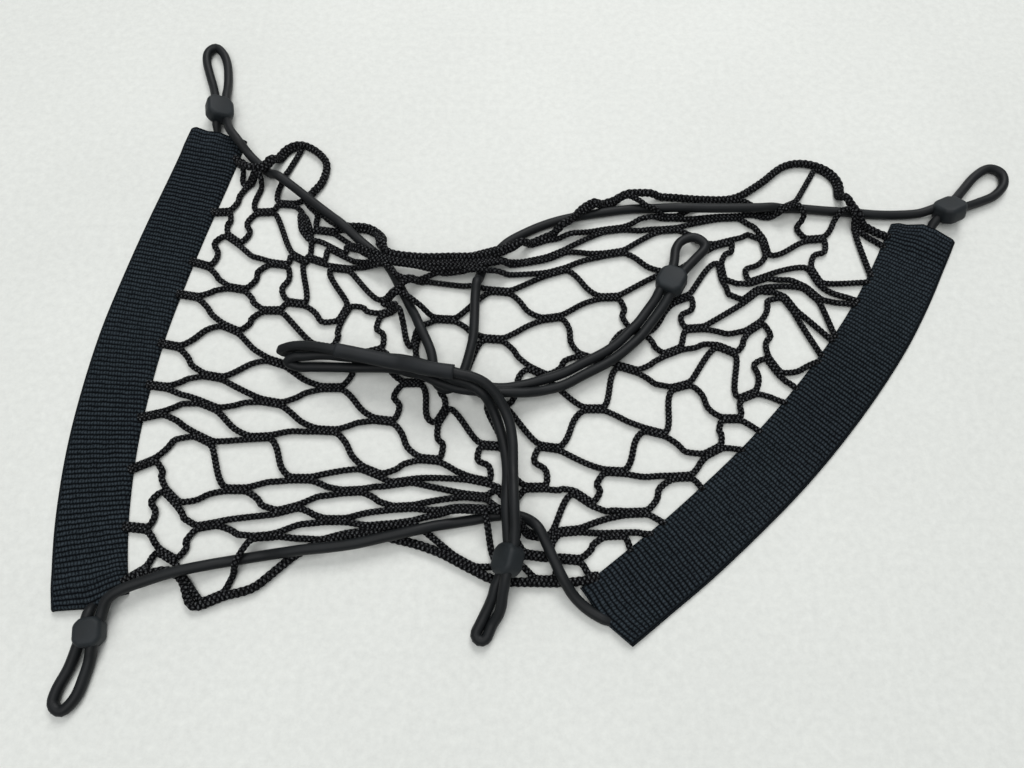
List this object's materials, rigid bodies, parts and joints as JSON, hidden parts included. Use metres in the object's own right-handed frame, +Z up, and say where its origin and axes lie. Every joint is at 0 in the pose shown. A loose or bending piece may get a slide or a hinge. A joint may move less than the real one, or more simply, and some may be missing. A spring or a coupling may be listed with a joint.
{
  "type": "cargo net",
  "caption": "Loose car boot net: knotless braided mesh between two webbing bands, with rubber cords, loops, beads and a sleeve, lying on the floor.",
  "frame": {"origin": "on the floor, under the middle of the box round the net and its two bands", "axes": "+Z up from the floor; +X from the left band to the right one; +Y to the far edge of the net as pictured"},
  "size_m": [0.5711, 0.4329, 0.0303],
  "materials": {
    "braid": "matt braided cord with fine pale specks",
    "webbing": "ribbed webbing, slight sheen",
    "rubber_cord": "smooth matt rubber",
    "rubber_piece": "moulded matt rubber"
  },
  "bodies": {
    "root": {"net": "braid", "band_left": "webbing", "band_right": "webbing", "cord_top": "rubber_cord", "cord_bottom": "rubber_cord", "cord_middle": "rubber_cord", "bead_left_far": "rubber_piece", "bead_left_near": "rubber_piece", "bead_right_far": "rubber_piece", "bead_middle_far": "rubber_piece", "bead_middle_near": "rubber_piece", "sleeve": "rubber_piece"}
  },
  "joints": []
}
